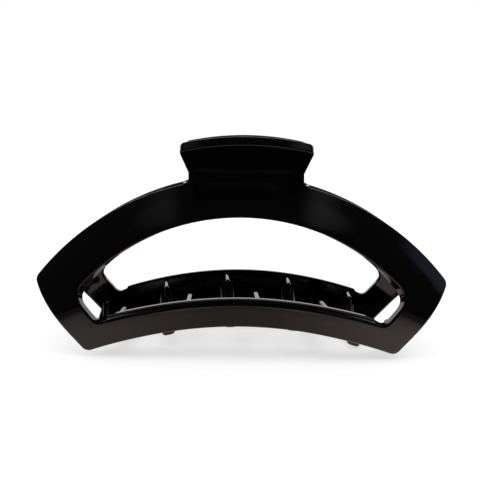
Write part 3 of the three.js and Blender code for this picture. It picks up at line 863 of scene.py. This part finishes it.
PLASTIC_BLACK = (0.0008, 0.0008, 0.0009)
PLASTIC_WARM_BLACK = (0.0017, 0.0012, 0.0011)
PIN_COLOUR = (0.62, 0.62, 0.63)
WIRE_COLOUR = (0.5, 0.5, 0.51)


def black_plastic():
    """Polished black moulding: slow flow waves, a faint fine grain, and a few specks of dust."""
    n = Nodes("black_plastic")
    tint = n.ramp(n.noise(70), 0.35, 0.7)
    n.link(n.mix(tint, PLASTIC_BLACK, PLASTIC_WARM_BLACK), n.shader.inputs["Base Color"])
    haze = n.ramp(n.noise(160, detail=6.0, roughness=0.7), 0.3, 0.75, 0.05, 0.11)
    specks = n.ramp(n.cells(1400), 0.05, 0.0, 0.0, 0.35)
    n.link(n.maths("ADD", haze, specks), n.shader.inputs["Roughness"])
    waves = n.bump(n.noise(55, detail=1.0), 0.0006, 0.05)
    grain = n.bump(n.noise(2600, detail=2.0), 0.00002, 0.12, under=waves)
    n.link(grain, n.shader.inputs["Normal"])
    n.shader.inputs["IOR"].default_value = 1.5
    return n.material


def bright_steel(name, colour, drawn_scale, roughness):
    """Drawn steel wire: fine marks along its length and slight blotches of tone."""
    n = Nodes(name)
    blotch = n.ramp(n.noise(420, detail=4.0), 0.3, 0.7)
    darker = tuple(c * 0.72 for c in colour)
    n.link(n.mix(blotch, darker, colour), n.shader.inputs["Base Color"])
    marks = n.noise(900, detail=4.0, roughness=0.65, vector=n.stretched(drawn_scale))
    n.link(n.ramp(marks, 0.3, 0.7, roughness * 0.7, roughness * 1.5), n.shader.inputs["Roughness"])
    n.link(n.bump(marks, 0.00003, 0.35), n.shader.inputs["Normal"])
    n.shader.inputs["Metallic"].default_value = 1.0
    return n.material


def paint(obj, material):
    obj.data.materials.clear()
    obj.data.materials.append(material)


# ---- camera, light and floor -------------------------------------------------------------------

CAMERA_AIM = (-0.6, 0.0, 32.2)
CAMERA_DISTANCE = 270.0
CAMERA_RISE = 0.14
CAMERA_ROLL = 0.0125
CAMERA_LENS = 63.4

SUN_STRENGTH = 4.4
SUN_WIDTH_DEGREES = 110
SUN_TILT_DEGREES = -8

WHITE = (1.0, 1.0, 1.0)
DARK_ROOM = (0.018, 0.017, 0.019)
COOL_LIGHT = (0.1, 0.11, 0.17)
RIGHT_GLOW = (0.2, 0.195, 0.2)
LEFT_GLOW = (0.12, 0.115, 0.115)

FLOOR_GREY = 0.34
FLOOR_GLOW = 0.66
POOL_MIDDLE = (0.46, 0.37, 0.365)
POOL_SIDE = (0.86, 0.7, 0.69)
STRIP_STRENGTH = 1.1


def make_camera():
    data = bpy.data.cameras.new("camera")
    data.lens = CAMERA_LENS
    data.sensor_width = 36.0
    data.clip_start = 0.01
    camera = bpy.data.objects.new("camera", data)
    bpy.context.scene.collection.objects.link(camera)
    back = Vector((0, -math.cos(CAMERA_RISE), math.sin(CAMERA_RISE)))
    camera.location = (Vector(CAMERA_AIM) + back * CAMERA_DISTANCE) * MM
    camera.rotation_mode = "QUATERNION"
    camera.rotation_quaternion = (-back).to_track_quat("-Z", "Y") @ Quaternion((0, 0, 1), CAMERA_ROLL)
    bpy.context.scene.camera = camera


def make_lights():
    """One large soft light from overhead, a little behind, which also whitens the floor."""
    data = bpy.data.lights.new("soft_light", "SUN")
    data.energy = SUN_STRENGTH
    data.angle = math.radians(SUN_WIDTH_DEGREES)
    sun = bpy.data.objects.new("soft_light", data)
    bpy.context.scene.collection.objects.link(sun)
    sun.rotation_euler = (math.radians(SUN_TILT_DEGREES), 0, 0)
    sun.visible_glossy = False


def make_world():
    """White to the camera. In reflections it is a dark room with a bright wall low behind, cool and dim at
    its right end, and a faint glow high on each side.
    """
    world = bpy.data.worlds.new("studio")
    world.use_nodes = True
    tree = world.node_tree
    link = tree.links.new
    direction = tree.nodes.new("ShaderNodeSeparateXYZ")
    link(tree.nodes.new("ShaderNodeTexCoord").outputs["Generated"], direction.inputs["Vector"])

    def share(axis, low, high):
        node = tree.nodes.new("ShaderNodeMapRange")
        node.interpolation_type = "SMOOTHSTEP"
        node.inputs["From Min"].default_value = low
        node.inputs["From Max"].default_value = high
        link(direction.outputs[axis], node.inputs["Value"])
        return node.outputs["Result"]

    def times(first, second):
        node = tree.nodes.new("ShaderNodeMath")
        node.operation = "MULTIPLY"
        link(first, node.inputs[0])
        link(second, node.inputs[1])
        return node.outputs["Value"]

    def mix(factor, first, second):
        node = tree.nodes.new("ShaderNodeMix")
        node.data_type = "RGBA"
        link(factor, node.inputs["Factor"])
        if isinstance(first, tuple):
            node.inputs["A"].default_value = (*first, 1)
        else:
            link(first, node.inputs["A"])
        node.inputs["B"].default_value = (*second, 1)
        return node.outputs["Result"]

    wall = times(share("Y", 0.5, 0.72), share("Z", 0.62, 0.4))
    cool_side = times(times(share("X", 0.6, 0.75), share("Y", 0.25, 0.4)), share("Z", 0.6, 0.45))
    high_right = times(share("Z", 0.78, 0.9), share("X", 0.3, 0.42))
    high_left = times(share("Z", 0.78, 0.9), share("X", -0.3, -0.42))
    room = mix(high_right, DARK_ROOM, RIGHT_GLOW)
    room = mix(high_left, room, LEFT_GLOW)
    seen = mix(wall, room, WHITE)
    seen = mix(cool_side, seen, COOL_LIGHT)
    path = tree.nodes.new("ShaderNodeLightPath")
    link(mix(path.outputs["Is Camera Ray"], seen, WHITE), tree.nodes["Background"].inputs["Color"])
    bpy.context.scene.world = world


def make_floor():
    """A white floor. In reflections it is a soft pool of light round the clip that fades with distance,
    brighter towards both sides and most to the right, with one short strip of light in front.
    """
    half_x, front, back = 1.2, -0.6, 1.6
    mesh = bpy.data.meshes.new("floor")
    corners = [(-half_x, front, 0), (half_x, front, 0), (half_x, back, 0), (-half_x, back, 0)]
    mesh.from_pydata(corners, [], [(0, 1, 2, 3)])
    floor = bpy.data.objects.new("floor", mesh)
    bpy.context.scene.collection.objects.link(floor)
    n = Nodes("floor_white")
    n.shader.inputs["Base Color"].default_value = (FLOOR_GREY, FLOOR_GREY, FLOOR_GREY, 1)
    n.shader.inputs["Roughness"].default_value = 0.9
    n.shader.inputs["Emission Color"].default_value = (1, 1, 1, 1)
    n.shader.inputs["Emission Strength"].default_value = FLOOR_GLOW
    tree = n.material.node_tree
    split = tree.nodes.new("ShaderNodeSeparateXYZ")
    n.link(n.coordinates, split.inputs["Vector"])
    length = tree.nodes.new("ShaderNodeVectorMath")
    length.operation = "LENGTH"
    n.link(n.coordinates, length.inputs[0])
    from_middle = n.maths("ABSOLUTE", split.outputs["X"])
    colour = n.mix(n.ramp(from_middle, 0.01, 0.052), POOL_MIDDLE, POOL_SIDE)
    right = n.ramp(split.outputs["X"], 0.0, 0.05, 1.0, 1.3)
    near = n.ramp(length.outputs["Value"], 0.062, 0.15, 1.0, 0.12)
    begins = n.ramp(split.outputs["Y"], -0.095, -0.105, 0.0, STRIP_STRENGTH)
    ends = n.ramp(split.outputs["Y"], -0.19, -0.165, 0.0, STRIP_STRENGTH)
    in_front = n.maths("MULTIPLY", begins, ends)
    strip = n.maths("MULTIPLY", n.ramp(from_middle, 0.03, 0.055, 1.0, 0.0), in_front)
    glow = tree.nodes.new("ShaderNodeEmission")
    n.link(colour, glow.inputs["Color"])
    n.link(n.maths("ADD", n.maths("MULTIPLY", near, right), strip), glow.inputs["Strength"])
    path = tree.nodes.new("ShaderNodeLightPath")
    mixed = tree.nodes.new("ShaderNodeMixShader")
    n.link(path.outputs["Is Glossy Ray"], mixed.inputs["Fac"])
    n.link(n.shader.outputs["BSDF"], mixed.inputs[1])
    n.link(glow.outputs["Emission"], mixed.inputs[2])
    n.link(mixed.outputs["Shader"], tree.nodes["Material Output"].inputs["Surface"])
    paint(floor, n.material)


# ---- assembly ----------------------------------------------------------------------------------

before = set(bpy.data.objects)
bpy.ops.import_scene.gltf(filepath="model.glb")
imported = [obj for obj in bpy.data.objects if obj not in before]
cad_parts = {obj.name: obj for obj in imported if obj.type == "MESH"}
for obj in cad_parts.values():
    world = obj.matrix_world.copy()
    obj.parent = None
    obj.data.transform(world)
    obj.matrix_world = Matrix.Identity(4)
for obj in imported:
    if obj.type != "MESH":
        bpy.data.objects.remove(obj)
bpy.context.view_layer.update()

bpy.context.scene.view_settings.view_transform = "Standard"
make_camera()
make_world()
make_lights()
make_floor()

plastic = black_plastic()
pin_steel = bright_steel("pin_steel", PIN_COLOUR, (0.05, 1, 1), 0.2)
wire_steel = bright_steel("wire_steel", WIRE_COLOUR, (1, 0.3, 0.3), 0.28)

front_jaw = jaw_frame()
front_jaw.name = "front_jaw_shell"
rear_jaw = bpy.data.objects.new("rear_jaw_shell", front_jaw.data.copy())
bpy.context.scene.collection.objects.link(rear_jaw)
add_handle(front_jaw, HANDLE_SHIFT)
add_handle(rear_jaw, -HANDLE_SHIFT)
rear_jaw.data.transform(Matrix.Rotation(math.pi, 4, "Z"))
for jaw, node, body in ((front_jaw, "front_jaw", "front_half"), (rear_jaw, "rear_jaw", "rear_half")):
    finish_mesh(jaw)
    paint(jaw, plastic)
    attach(jaw, body)
    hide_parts(node)

hinge_pin = pin()
hinge_pin.name = "pin"
finish_mesh(hinge_pin)
paint(hinge_pin, pin_steel)
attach(hinge_pin, "rear_half")
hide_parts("hinge_pin")

coil = spring()
coil.name = "spring"
finish_mesh(coil)
paint(coil, wire_steel)
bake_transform(coil)
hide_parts("torsion_spring")
